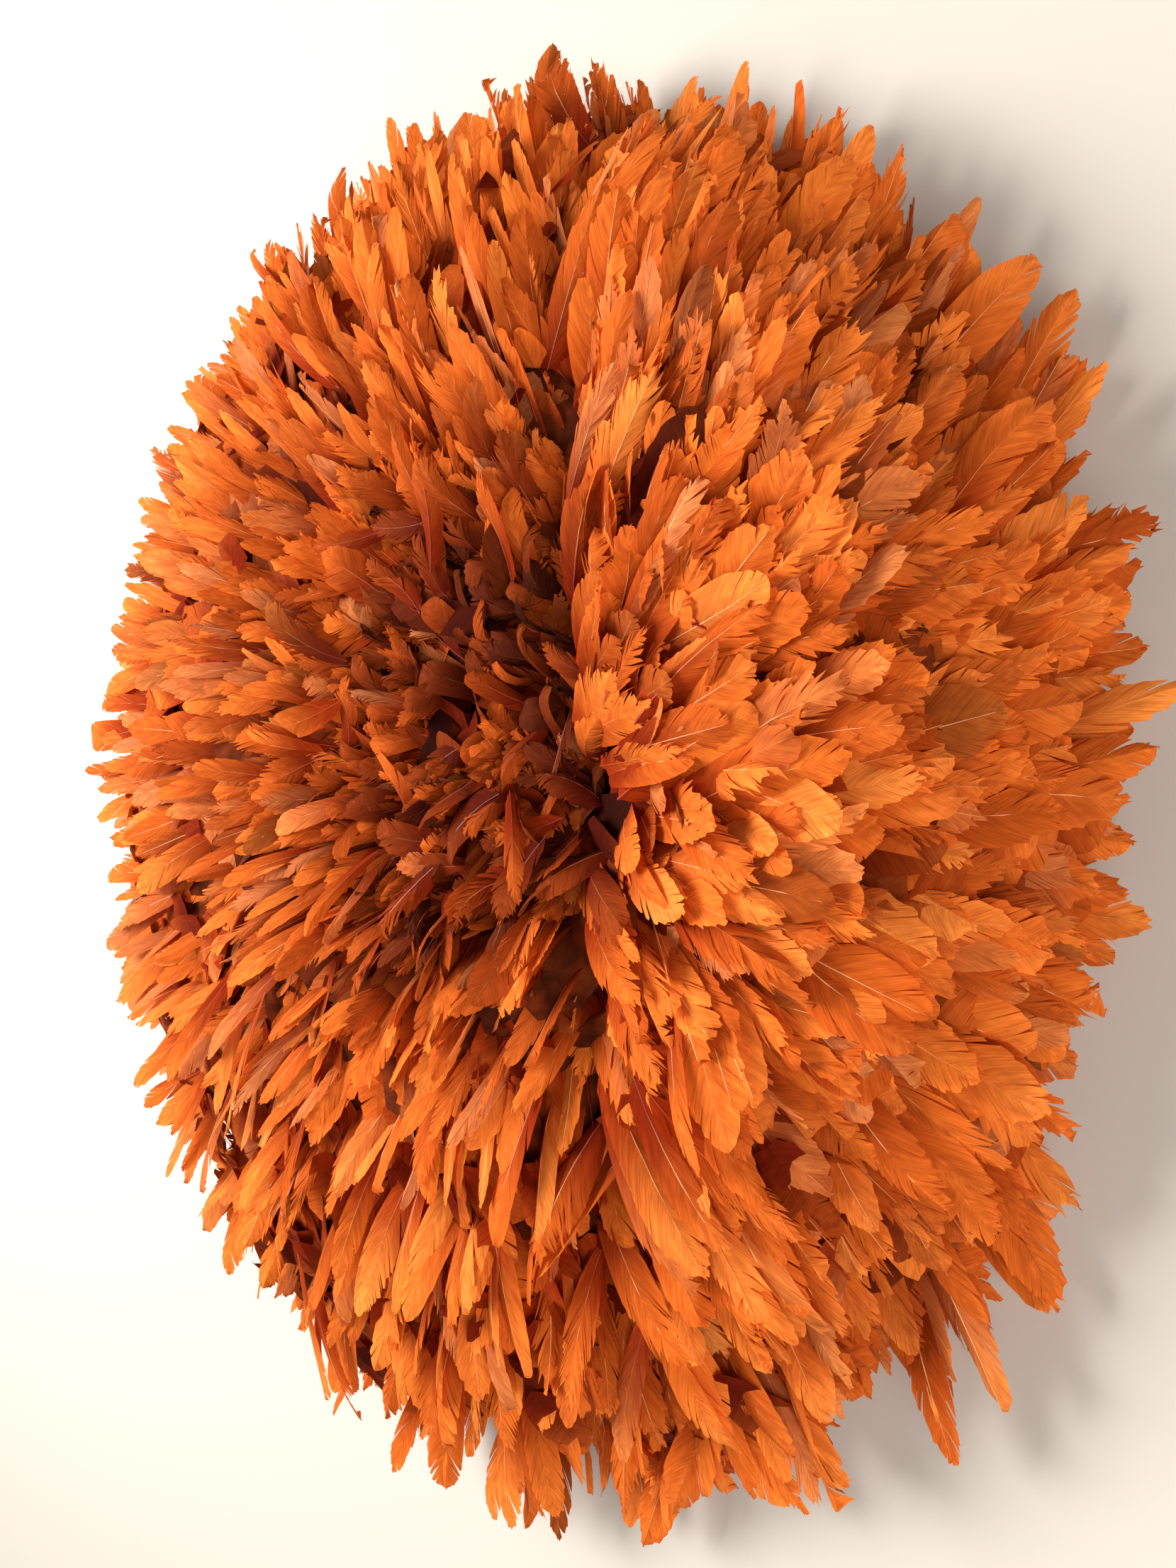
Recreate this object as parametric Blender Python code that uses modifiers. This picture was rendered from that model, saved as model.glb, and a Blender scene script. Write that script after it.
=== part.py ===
"""Feathered headdress, lying open on its back.

A woven raffia cap takes the wearer's head. A flat skirt of raffia ribs surrounds its mouth, and six
rings of feather bundles are bound to the skirt and the cap, each ring above and inside the one before.
A tuft of short feathers fills the middle. The mouth of the cap is down, on the surface.
Metres, +Z up out of the face, +Y to the top of the face. The origin is under the middle of its plan.
"""
import math
import random
from collections import namedtuple

import bpy

# Overall form
WIDTH = 0.744
LENGTH = 0.840
DEPTH = 0.168
SEED = 21

# The cap's axis lies off the middle of the plan, because the feathers hang to one side
AXIS_X = 0.048
AXIS_Y = 0.030

# Woven cap
CAP_INNER_R = 0.091
CAP_WALL = 0.005
CAP_HEIGHT = 0.080
CAP_SHOULDER_R = 0.014
CAP_TAPER = 0.004
CAP_SEGMENTS = 40
SHOULDER_STEPS = 3
MOUTH_BRAID_WIDTH = 0.017
MOUTH_BRAID_HEIGHT = 0.009

# Skirt of raffia ribs
SKIRT_WIDTH = 0.090
SKIRT_THICKNESS = 0.007
SKIRT_RIBS = 36
RIB_RELIEF = 0.0018
SKIRT_HEM = 0.006

# Feather bundles
SEAT_GAP = 0.0003
BUNDLE_GAP = 0.002
BUNDLE_SLIT = 0.30
SHORTEST_BUNDLE = 0.93
TIP_LIFT = 0.006
RIM_CLEARANCE = 0.010
FULLNESS = 0.80
TIP_FULLNESS = 0.86
GROOVE = 0.35
INNER_RING_THICKNESS = 0.022

# Parting that runs across the face from top to bottom
PARTING_X = 0.150
PARTING_WIDTH = 0.034
PARTING_DEPTH = 0.030

# Crown tuft
TUFT_HEIGHT = 0.036
TUFT_LOCKS = 12
SHORTEST_LOCK = 0.80

# Values that follow from the driving dimensions
HALF_WIDTH = WIDTH / 2
HALF_LENGTH = LENGTH / 2
MEAN_R = (HALF_WIDTH + HALF_LENGTH) / 2
CAP_OUTER_R = CAP_INNER_R + CAP_WALL
MOUTH_R = CAP_OUTER_R + MOUTH_BRAID_WIDTH
SKIRT_INNER_R = MOUTH_R + SEAT_GAP
SKIRT_OUTER_R = SKIRT_INNER_R + SKIRT_WIDTH
SKIRT_SEAT = SKIRT_THICKNESS + SEAT_GAP
CAP_SEAT = CAP_HEIGHT + SEAT_GAP
CAP_TOP_R = CAP_OUTER_R - CAP_TAPER - CAP_SHOULDER_R

# One row for each ring of bundles, from the rim inwards. root_in and root_out are shares of the width
# of the seat that carries the ring, reach is a share of MEAN_R, rise and arch are shares of DEPTH.
Ring = namedtuple("Ring", "name seat root_in root_out reach rise arch bundles colour")
RINGS = (
    Ring("feather_ring_1_rim", "skirt", 0.70, 0.93, 1.00, 0.17, 0.02, 36, "orange"),
    Ring("feather_ring_2", "skirt", 0.52, 0.70, 0.93, 0.45, 0.10, 32, "orange"),
    Ring("feather_ring_3", "skirt", 0.34, 0.52, 0.82, 0.72, 0.16, 28, "orange"),
    Ring("feather_ring_4", "skirt", 0.18, 0.34, 0.67, 0.91, 0.20, 24, "orange"),
    Ring("feather_ring_5", "skirt", 0.00, 0.18, 0.49, 1.00, 0.14, 20, "rust"),
    Ring("feather_ring_6_inner", "cap", 0.72, 0.98, 0.345, 0.92, 0.05, 16, "rust"),
)

# Across one bundle: place is a share of its width from the middle, length a share of its length
Sample = namedtuple("Sample", "place length crest")
BUNDLE_SHAPE = (
    Sample(-0.46, 0.00, 0.0),
    Sample(-0.27, 0.80, 0.7),
    Sample(0.00, 1.00, 1.0),
    Sample(0.27, 0.80, 0.7),
    Sample(0.46, 0.00, 0.0),
)
# Shares of a bundle's length at which its body and its upper bulge are shaped
BODY_AT = 0.42
BULGE_AT = 0.88

# Section of the tuft, from its seat outwards and over to its middle: shares of its radius and height
TuftPoint = namedtuple("TuftPoint", "radius height")
TUFT_SHAPE = (
    TuftPoint(0.96, 0.00),
    TuftPoint(1.00, 0.30),
    TuftPoint(1.15, 0.82),
    TuftPoint(0.78, 1.00),
    TuftPoint(0.32, 0.80),
)

COLOURS = {
    "orange": (0.62, 0.16, 0.03, 1.0),
    "rust": (0.33, 0.07, 0.015, 1.0),
    "raffia": (0.55, 0.40, 0.20, 1.0),
}


def clear_scene():
    for old in list(bpy.data.objects):
        bpy.data.objects.remove(old, do_unlink=True)


def make_material(name, colour, roughness):
    material = bpy.data.materials.new(name)
    material.use_nodes = True
    shader = material.node_tree.nodes["Principled BSDF"]
    shader.inputs["Base Color"].default_value = colour
    shader.inputs["Roughness"].default_value = roughness
    shader.inputs["Metallic"].default_value = 0.0
    return material


def add_object(name, mesh, collection, material):
    piece = bpy.data.objects.new(name, mesh)
    collection.objects.link(piece)
    mesh.materials.append(material)
    mesh.shade_smooth()
    mesh.set_sharp_from_angle(angle=math.radians(40))
    return piece


def smooth_step(x):
    x = min(max(x, 0.0), 1.0)
    return x * x * (3 - 2 * x)


def spread(radius):
    """0 on the cap and the skirt, 1 at the rim: how far the plan has gone from round to oval."""
    return smooth_step((radius - SKIRT_OUTER_R) / (MEAN_R - SKIRT_OUTER_R))


def placed(radius, angle, height):
    """A point given round the cap's axis, moved to where the oval plan and the parting put it."""
    s = spread(radius)
    wide = 1 + (HALF_WIDTH / MEAN_R - 1) * s
    long = 1 + (HALF_LENGTH / MEAN_R - 1) * s
    x = AXIS_X * (1 - s) + radius * wide * math.cos(angle)
    y = AXIS_Y * (1 - s) + radius * long * math.sin(angle)
    off = (x - PARTING_X) / PARTING_WIDTH
    out = smooth_step((radius - CAP_OUTER_R) / (SKIRT_OUTER_R - CAP_OUTER_R))
    dent = PARTING_DEPTH / DEPTH * math.exp(-off * off) * out
    lift = max(height - SKIRT_SEAT, 0.0)
    return x, y, height - lift * dent


def ring_mesh(name, sections, closed_middle=False):
    """A solid from closed sections set round the axis. With closed_middle, the first and last points
    of every section bound the middle, which is then a flat underside and a peak on top."""
    mesh = bpy.data.meshes.new(name)
    turns, points = len(sections), len(sections[0])
    corners = [point for section in sections for point in section]
    faces = []
    edges = points - 1 if closed_middle else points
    for i in range(turns):
        here, there = i * points, (i + 1) % turns * points
        for j in range(edges):
            k = (j + 1) % points
            faces.append((here + j, there + j, there + k, here + k))
    if closed_middle:
        tops = [section[-1] for section in sections]
        peak = [sum(axis) / turns for axis in zip(*tops)]
        corners.append(peak)
        faces.append([i * points for i in reversed(range(turns))])
        for i in range(turns):
            here, there = i * points, (i + 1) % turns * points
            faces.append((here + points - 1, there + points - 1, len(corners) - 1))
    mesh.from_pydata(corners, [], faces)
    mesh.update()
    return mesh


def woven_cap(collection, material):
    """A turned wall with an open mouth below, a rounded shoulder and a braid round the mouth."""
    top_r = CAP_OUTER_R - CAP_TAPER
    shoulder = []
    for i in range(SHOULDER_STEPS + 1):
        turn = math.pi / 2 * i / SHOULDER_STEPS
        across, up = CAP_SHOULDER_R * math.sin(turn), CAP_SHOULDER_R * math.cos(turn)
        shoulder.append((top_r - CAP_SHOULDER_R + across, CAP_HEIGHT - CAP_SHOULDER_R + up))
    inner_r = CAP_SHOULDER_R - CAP_WALL
    inside = []
    for i in reversed(range(SHOULDER_STEPS + 1)):
        turn = math.pi / 2 * i / SHOULDER_STEPS
        across, up = inner_r * math.sin(turn), inner_r * math.cos(turn)
        inside.append((top_r - CAP_SHOULDER_R + across, CAP_HEIGHT - CAP_SHOULDER_R + up))
    braid = [
        (CAP_OUTER_R, MOUTH_BRAID_HEIGHT),
        (MOUTH_R, MOUTH_BRAID_HEIGHT),
        (MOUTH_R, 0.0),
        (CAP_INNER_R, 0.0),
    ]
    profile = [(0.0, CAP_HEIGHT), *shoulder, *braid, *inside, (0.0, CAP_HEIGHT - CAP_WALL)]
    mesh = bpy.data.meshes.new("raffia_cap")
    corners = [(r, 0.0, z) for r, z in profile]
    mesh.from_pydata(corners, [(i, i + 1) for i in range(len(corners) - 1)], [])
    cap = add_object("raffia_cap", mesh, collection, material)
    cap.location = (AXIS_X, AXIS_Y, 0.0)
    screw = cap.modifiers.new("turn", "SCREW")
    screw.steps = CAP_SEGMENTS
    screw.render_steps = CAP_SEGMENTS
    screw.use_merge_vertices = True
    screw.merge_threshold = 0.0001
    return cap


def rib_skirt(collection, material):
    """A flat ring of raffia ribs, bound by a hem at its inner and outer edges."""
    inner, outer = SKIRT_INNER_R, SKIRT_OUTER_R
    sections = []
    for i in range(2 * SKIRT_RIBS):
        angle = math.pi * i / SKIRT_RIBS
        dip = RIB_RELIEF * (i % 2)
        profile = (
            (inner, 0.0),
            (inner + SKIRT_HEM, dip),
            (outer - 2 * SKIRT_HEM, dip),
            (outer - SKIRT_HEM, 0.0),
            (outer, 0.0),
            (outer, SKIRT_THICKNESS - RIB_RELIEF / 2),
            (inner, SKIRT_THICKNESS - dip),
        )
        sections.append([placed(r, angle, z) for r, z in profile])
    return add_object("rib_skirt", ring_mesh("rib_skirt", sections), collection, material)


def root_of(ring):
    """Inner and outer radius of the ring's bound quills, and the height of their seat."""
    if ring.seat == "skirt":
        start, width, seat = SKIRT_INNER_R + BUNDLE_GAP, SKIRT_WIDTH, SKIRT_SEAT
    else:
        start, width, seat = 0.0, CAP_TOP_R, CAP_SEAT
    return start + ring.root_in * width, start + ring.root_out * width - BUNDLE_GAP, seat


def quill_line(ring, u):
    """The ring's underside, from the outside of its quills at u = 0 to its tips at u = 1."""
    _, root, seat = root_of(ring)
    tip, top = ring.reach * MEAN_R, ring.rise * DEPTH
    bend_r = (root + tip) / 2 - ring.arch * DEPTH
    bend_z = (seat + top) / 2 + ring.arch * DEPTH
    if ring is RINGS[0]:
        bend_r = (root + tip) / 2
        bend_z = RIM_CLEARANCE
    a, b, c = (1 - u) ** 2, 2 * u * (1 - u), u * u
    return a * root + b * bend_r + c * tip, a * seat + b * bend_z + c * top


def feather_ring(index, collection, material):
    """Bundles side by side, fused along their quills, under the ring that lies inside it."""
    ring = RINGS[index]
    inside = RINGS[index + 1] if index + 1 < len(RINGS) else None
    root_in, root_out, seat = root_of(ring)
    draw = random.Random(SEED + index)
    width = 2 * math.pi / ring.bundles
    quarter = ring.bundles // 4
    sections = []
    for number in range(ring.bundles):
        length = draw.uniform(SHORTEST_BUNDLE, 1.0)
        lean = draw.uniform(0.0, 1.0)
        if number % quarter == 0:
            length = 1.0
            lean = 0.0
        for sample in BUNDLE_SHAPE:
            angle = (number + sample.place) * width
            reach = length - BUNDLE_SLIT * (1 - sample.length)
            under = quill_line(ring, BODY_AT)
            tip_r, tip_z = quill_line(ring, reach)
            tip = (tip_r, tip_z + lean * TIP_LIFT * sample.crest)
            bulge = upper(ring, inside, BULGE_AT * reach, TIP_FULLNESS, sample)
            body = upper(ring, inside, BODY_AT, FULLNESS, sample)
            profile = ((root_in, seat), (root_out, seat), under, tip, bulge, body)
            sections.append([placed(r, angle, z) for r, z in profile])
    return add_object(ring.name, ring_mesh(ring.name, sections), collection, material)


def upper(ring, inside, u, fullness, sample):
    """A point on the bundle's upper side, most of the way to the ring that lies over it."""
    base_r, base_z = quill_line(ring, u)
    if inside:
        over_r, over_z = quill_line(inside, u)
    else:
        over_r, over_z = base_r - INNER_RING_THICKNESS, base_z
    share = fullness * (1 - GROOVE * (1 - sample.crest))
    return base_r + (over_r - base_r) * share, base_z + (over_z - base_z) * share


def crown_tuft(collection, material):
    """A rosette of short locks that stand on the cap's top, inside the quills of the inner ring."""
    draw = random.Random(SEED + len(RINGS))
    quills, _, seat = root_of(RINGS[-1])
    radius = quills - BUNDLE_GAP
    width = 2 * math.pi / TUFT_LOCKS
    sections = []
    for number in range(TUFT_LOCKS):
        height = TUFT_HEIGHT * draw.uniform(SHORTEST_LOCK, 1.0)
        for sample in BUNDLE_SHAPE:
            angle = (number + sample.place) * width
            reach = 1 - BUNDLE_SLIT * (1 - sample.length)
            section = []
            for point in TUFT_SHAPE:
                out = point.radius if point.radius < 1 else 1 + (point.radius - 1) * reach
                up = point.height * (reach if point.height > 0.5 else 1.0)
                section.append(placed(radius * out, angle, seat + height * up))
            sections.append(section)
    mesh = ring_mesh("crown_tuft", sections, closed_middle=True)
    return add_object("crown_tuft", mesh, collection, material)


def build():
    clear_scene()
    collection = bpy.data.collections.new("feathered_headdress")
    bpy.context.scene.collection.children.link(collection)
    raffia = make_material("raffia", COLOURS["raffia"], 0.8)
    feathers = {
        "orange": make_material("orange_feather", COLOURS["orange"], 0.7),
        "rust": make_material("rust_feather", COLOURS["rust"], 0.75),
    }
    woven_cap(collection, raffia)
    rib_skirt(collection, raffia)
    for index, ring in enumerate(RINGS):
        feather_ring(index, collection, feathers[ring.colour])
    crown_tuft(collection, feathers["rust"])


build()
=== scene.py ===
"""Looks of the feathered headdress: every feather as a curved vane with barbs and a shaft, in rows over
the dome that the solids give, on a core of packed quills, with a woven raffia cap and skirt behind.
Metres, +Z up out of the face, +Y to the top of the face."""
import math
from collections import namedtuple

import bpy
import numpy as np
from mathutils import Matrix, Vector


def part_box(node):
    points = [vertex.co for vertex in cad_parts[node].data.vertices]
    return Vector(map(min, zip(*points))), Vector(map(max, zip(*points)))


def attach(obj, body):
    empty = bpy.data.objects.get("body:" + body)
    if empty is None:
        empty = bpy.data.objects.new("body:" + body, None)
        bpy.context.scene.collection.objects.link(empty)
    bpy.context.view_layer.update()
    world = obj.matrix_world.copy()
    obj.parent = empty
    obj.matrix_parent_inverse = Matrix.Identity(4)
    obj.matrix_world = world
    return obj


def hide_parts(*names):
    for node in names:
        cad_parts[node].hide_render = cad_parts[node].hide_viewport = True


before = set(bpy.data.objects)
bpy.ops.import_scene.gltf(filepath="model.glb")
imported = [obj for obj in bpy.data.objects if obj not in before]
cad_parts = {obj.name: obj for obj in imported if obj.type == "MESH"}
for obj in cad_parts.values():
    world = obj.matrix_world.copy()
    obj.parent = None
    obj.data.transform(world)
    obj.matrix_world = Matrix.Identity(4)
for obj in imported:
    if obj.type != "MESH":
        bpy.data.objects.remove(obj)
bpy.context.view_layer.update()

SEED = 7

# Sizes read from the frame
rim_low, rim_high = (np.array(corner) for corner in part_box("feather_ring_1_rim"))
cap_low, cap_high = (np.array(corner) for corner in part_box("raffia_cap"))
skirt_low, skirt_high = (np.array(corner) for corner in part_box("rib_skirt"))
HALF_WIDTH = (rim_high[0] - rim_low[0]) / 2
HALF_LENGTH = (rim_high[1] - rim_low[1]) / 2
MEAN_R = (HALF_WIDTH + HALF_LENGTH) / 2
AXIS_X, AXIS_Y = (cap_low[:2] + cap_high[:2]) / 2
MOUTH_R = (cap_high[0] - cap_low[0]) / 2
CAP_HEIGHT = cap_high[2]
SKIRT_R = (skirt_high[0] - skirt_low[0]) / 2
SKIRT_TOP = skirt_high[2]
# Depth of the dome, without the small lift of single bundles' tips
DEPTH = 0.168

# The parting across the face, as the solids have it
PARTING_X = 0.150
PARTING_WIDTH = 0.034
PARTING_DEPTH = 0.030

# Camera, fitted to the photo's outline: degrees right of and above straight on, metres away, and how far
# the aim lies off the middle, as a share of the distance
CAMERA_RIGHT = 41.24
CAMERA_ABOVE = -3.92
CAMERA_ROLL = -2.40
CAMERA_DISTANCE = 0.782
AIM_RIGHT = 0.038
AIM_UP = -0.008
SENSOR = 36.0
PHOTO_HEIGHT = 2212.0
FOCAL_PIXELS = 1790.0
CLIP_START = 0.02


def smooth_step(x):
    x = np.clip(x, 0.0, 1.0)
    return x * x * (3 - 2 * x)


def unit(v):
    return v / np.linalg.norm(v, axis=-1, keepdims=True)


def placed(radius, angle, height):
    """Points given round the cap's axis, moved to the oval plan and into the parting."""
    s = smooth_step((radius - SKIRT_R) / (MEAN_R - SKIRT_R))
    wide = 1 + (HALF_WIDTH / MEAN_R - 1) * s
    long = 1 + (HALF_LENGTH / MEAN_R - 1) * s
    x = AXIS_X * (1 - s) + radius * wide * np.cos(angle)
    y = AXIS_Y * (1 - s) + radius * long * np.sin(angle)
    off = (x - PARTING_X) / PARTING_WIDTH
    out = smooth_step((radius - MOUTH_R) / (SKIRT_R - MOUTH_R))
    dent = PARTING_DEPTH / DEPTH * np.exp(-off * off) * out
    z = height - np.maximum(height - SKIRT_TOP, 0.0) * dent
    return np.stack([x, y, z], -1)


# Material nodes

def new_material(name):
    material = bpy.data.materials.new(name)
    material.use_nodes = True
    return material, material.node_tree, material.node_tree.nodes["Principled BSDF"]


def new_node(tree, kind, **values):
    node = tree.nodes.new(kind)
    for name, value in values.items():
        setattr(node, name, value)
    return node


def link_all(tree, *pairs):
    for start, end in pairs:
        tree.links.new(start, end)


def math_node(tree, operation, a, b=None, c=None, clamp=False):
    node = new_node(tree, "ShaderNodeMath", operation=operation, use_clamp=clamp)
    for socket, value in zip(node.inputs, (a, b, c)):
        if value is None:
            continue
        if isinstance(value, (int, float)):
            socket.default_value = value
        else:
            tree.links.new(value, socket)
    return node.outputs[0]


def mixed(tree, fac, a, b, blend="MIX"):
    node = new_node(tree, "ShaderNodeMix", data_type="RGBA", blend_type=blend)
    for socket, value in zip((node.inputs[0], node.inputs[6], node.inputs[7]), (fac, a, b)):
        if isinstance(value, (int, float)):
            socket.default_value = value
        elif isinstance(value, tuple):
            socket.default_value = (*value, 1.0)
        else:
            tree.links.new(value, socket)
    return node.outputs[2]


def times(tree, a, b):
    return mixed(tree, 1.0, a, b, "MULTIPLY")


def ramp(tree, fac, stops):
    node = new_node(tree, "ShaderNodeValToRGB")
    for element, (place, colour) in zip(node.color_ramp.elements, stops):
        element.position = place
        element.color = (*colour, 1.0)
    tree.links.new(fac, node.inputs[0])
    return node.outputs[0]


def noise_node(tree, vector, scale, detail, roughness=0.5):
    node = new_node(tree, "ShaderNodeTexNoise")
    node.inputs["Scale"].default_value = scale
    node.inputs["Detail"].default_value = detail
    node.inputs["Roughness"].default_value = roughness
    if vector is not None:
        tree.links.new(vector, node.inputs["Vector"])
    return node.outputs[0]


def bumped(tree, height, strength, distance):
    node = new_node(tree, "ShaderNodeBump")
    node.inputs["Strength"].default_value = strength
    node.inputs["Distance"].default_value = distance
    tree.links.new(height, node.inputs["Height"])
    return node.outputs[0]


# Dyed feather colours in linear light, from the darkest tone to the palest
TONES = (0.0, 0.15, 0.35, 0.55, 0.75, 1.0)
ORANGE = (
    (0.045, 0.009, 0.003),
    (0.150, 0.024, 0.005),
    (0.430, 0.076, 0.009),
    (0.715, 0.157, 0.019),
    (0.905, 0.238, 0.032),
    (0.970, 0.340, 0.062),
)
DUSTY = (0.690, 0.255, 0.092)
INKY = (0.085, 0.015, 0.004)
GLOW = (0.970, 0.270, 0.030)
GOLD = (0.990, 0.375, 0.080)
RED_SHADE = (0.90, 0.54, 0.42)
SHAFT_PALE = (0.98, 0.56, 0.26)
# Painted shade towards each feather's root, where the feathers overlap
ROOT_PAINTED_SHADE = (0.44, 0.180, 0.115)
WHITE = (1.0, 1.0, 1.0)

# Streaks on the barbs, fine, coarse and in patches: noise cells along and across the feather, its detail,
# and the gain and the base of what it gives to the tone
Streak = namedtuple("Streak", "along across detail gain base")
STREAKS = (
    Streak(1.1, 85.0, 3.0, 0.80, 0.60),
    Streak(1.4, 17.0, 2.0, 0.70, 0.65),
    Streak(1.6, 2.6, 2.0, 0.60, 0.70),
)
STREAK_ROUGHNESS = 0.65
# Streaks turn redder as they fall below this, and fully red where they are one below it
REDDEN_FROM = 1.35

# Painted shade in dark lines where barbs stand apart: how the noise picks them, and how they begin away from
# the shaft
BARB_GAP_PAINTED_SHADE = (0.52, 0.36, 0.30)
GAP_STREAK = Streak(0.55, 46.0, 1.0, 12.0, -7.8)
GAP_OUT_GAIN = 1.8
GAP_OUT_BASE = -0.35

VANE_ROUGHNESS = 0.80
VANE_SPECULAR = 0.07
VANE_BUMP = 0.50
VANE_RELIEF = 0.0006
GLOW_SHARE = 0.10
THROUGH_SHARE = 0.27


def feather_material():
    """Fine barbs along each vane, painted shade in the gaps between barbs, and light that comes through it.
    """
    material, tree, shader = new_material("dyed_feather")
    uv = new_node(tree, "ShaderNodeUVMap", uv_map="barbs").outputs[0]
    tint = new_node(tree, "ShaderNodeAttribute", attribute_name="tint").outputs[0]
    shift = new_node(tree, "ShaderNodeAttribute", attribute_name="shift").outputs[1]
    moved = new_node(tree, "ShaderNodeVectorMath", operation="ADD")
    link_all(tree, (uv, moved.inputs[0]), (shift, moved.inputs[1]))

    def streak_noise(streak):
        stretch = new_node(tree, "ShaderNodeVectorMath", operation="MULTIPLY")
        stretch.inputs[1].default_value = (streak.along, streak.across, 1.0)
        tree.links.new(moved.outputs[0], stretch.inputs[0])
        return noise_node(tree, stretch.outputs[0], 1.0, streak.detail, STREAK_ROUGHNESS)

    noises = [streak_noise(streak) for streak in STREAKS]
    levels = [math_node(tree, "MULTIPLY_ADD", n, s.gain, s.base) for n, s in zip(noises, STREAKS)]
    streaks = math_node(tree, "MULTIPLY", levels[0], levels[1])
    streaks = math_node(tree, "MULTIPLY", streaks, levels[2])
    dark = math_node(tree, "SUBTRACT", REDDEN_FROM, streaks, clamp=True)
    colour = times(tree, times(tree, tint, streaks), mixed(tree, dark, WHITE, RED_SHADE))

    # Painted shade in dark lines where barbs stand apart, away from the shaft
    sides = new_node(tree, "ShaderNodeSeparateXYZ")
    tree.links.new(uv, sides.inputs[0])
    out_along = math_node(tree, "ABSOLUTE", sides.outputs[0])
    out_along = math_node(tree, "MULTIPLY_ADD", out_along, GAP_OUT_GAIN, GAP_OUT_BASE, clamp=True)
    picked = streak_noise(GAP_STREAK)
    picked = math_node(tree, "MULTIPLY_ADD", picked, GAP_STREAK.gain, GAP_STREAK.base, clamp=True)
    parted = math_node(tree, "MULTIPLY", picked, out_along)
    colour = mixed(tree, parted, colour, times(tree, colour, BARB_GAP_PAINTED_SHADE))

    relief = bumped(tree, math_node(tree, "ADD", noises[0], noises[1]), VANE_BUMP, VANE_RELIEF)
    shader.inputs["Roughness"].default_value = VANE_ROUGHNESS
    shader.inputs["Specular IOR Level"].default_value = VANE_SPECULAR
    link_all(tree, (colour, shader.inputs["Base Color"]), (relief, shader.inputs["Normal"]))
    through = new_node(tree, "ShaderNodeBsdfTranslucent")
    tree.links.new(mixed(tree, GLOW_SHARE, colour, GLOW), through.inputs["Color"])
    blend = new_node(tree, "ShaderNodeMixShader")
    blend.inputs[0].default_value = THROUGH_SHARE
    link_all(tree, (shader.outputs[0], blend.inputs[1]), (through.outputs[0], blend.inputs[2]))
    tree.links.new(blend.outputs[0], tree.nodes["Material Output"].inputs[0])
    return material


# Scale, detail and roughness of the noise on the shafts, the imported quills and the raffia
SHAFT_NOISE = (180.0, 2.0)
QUILL_NOISE = (90.0, 4.0)
RAFFIA_NOISE = (60.0, 6.0, 0.7)
# The quills' dark red-browns are painted shade: they stand for packed feathers in shadow, seen in the gaps
QUILL_PAINTED_SHADE_STOPS = ((0.3, (0.045, 0.009, 0.003)), (0.7, (0.190, 0.030, 0.006)))
RAFFIA_STOPS = ((0.32, (0.30, 0.19, 0.08)), (0.68, (0.60, 0.43, 0.21)))
# Scale of the crossing strands, about 220 of them a metre, and how they waver
RAFFIA_STRANDS = 70.0
RAFFIA_DISTORTION = 1.5


def shaft_material():
    """A smooth horny shaft in the colour that its points carry."""
    material, tree, shader = new_material("feather_shaft")
    tint = new_node(tree, "ShaderNodeAttribute", attribute_name="tint").outputs[0]
    amount = math_node(tree, "MULTIPLY_ADD", noise_node(tree, None, *SHAFT_NOISE), 0.4, 0.8)
    tree.links.new(times(tree, tint, amount), shader.inputs["Base Color"])
    shader.inputs["Roughness"].default_value = 0.42
    return material


def quill_material():
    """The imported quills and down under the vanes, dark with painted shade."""
    material, tree, shader = new_material("packed_quills")
    place = new_node(tree, "ShaderNodeTexCoord").outputs["Object"]
    noise = noise_node(tree, place, *QUILL_NOISE)
    tree.links.new(ramp(tree, noise, QUILL_PAINTED_SHADE_STOPS), shader.inputs["Base Color"])
    tree.links.new(bumped(tree, noise, 0.8, 0.002), shader.inputs["Normal"])
    shader.inputs["Roughness"].default_value = 0.95
    shader.inputs["Specular IOR Level"].default_value = 0.05
    return material


def raffia_material():
    """Dry raffia, with strands that cross in the weave."""
    material, tree, shader = new_material("raffia")
    place = new_node(tree, "ShaderNodeTexCoord").outputs["Object"]
    weave = noise_node(tree, place, *RAFFIA_NOISE)
    tree.links.new(ramp(tree, weave, RAFFIA_STOPS), shader.inputs["Base Color"])
    for axis in "XYZ":
        strands = new_node(tree, "ShaderNodeTexWave", bands_direction=axis)
        strands.inputs["Scale"].default_value = RAFFIA_STRANDS
        strands.inputs["Distortion"].default_value = RAFFIA_DISTORTION
        tree.links.new(place, strands.inputs["Vector"])
        weave = math_node(tree, "ADD", weave, strands.outputs[1])
    tree.links.new(bumped(tree, weave, 0.6, 0.001), shader.inputs["Normal"])
    shader.inputs["Roughness"].default_value = 0.72
    return material


# One feather

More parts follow.
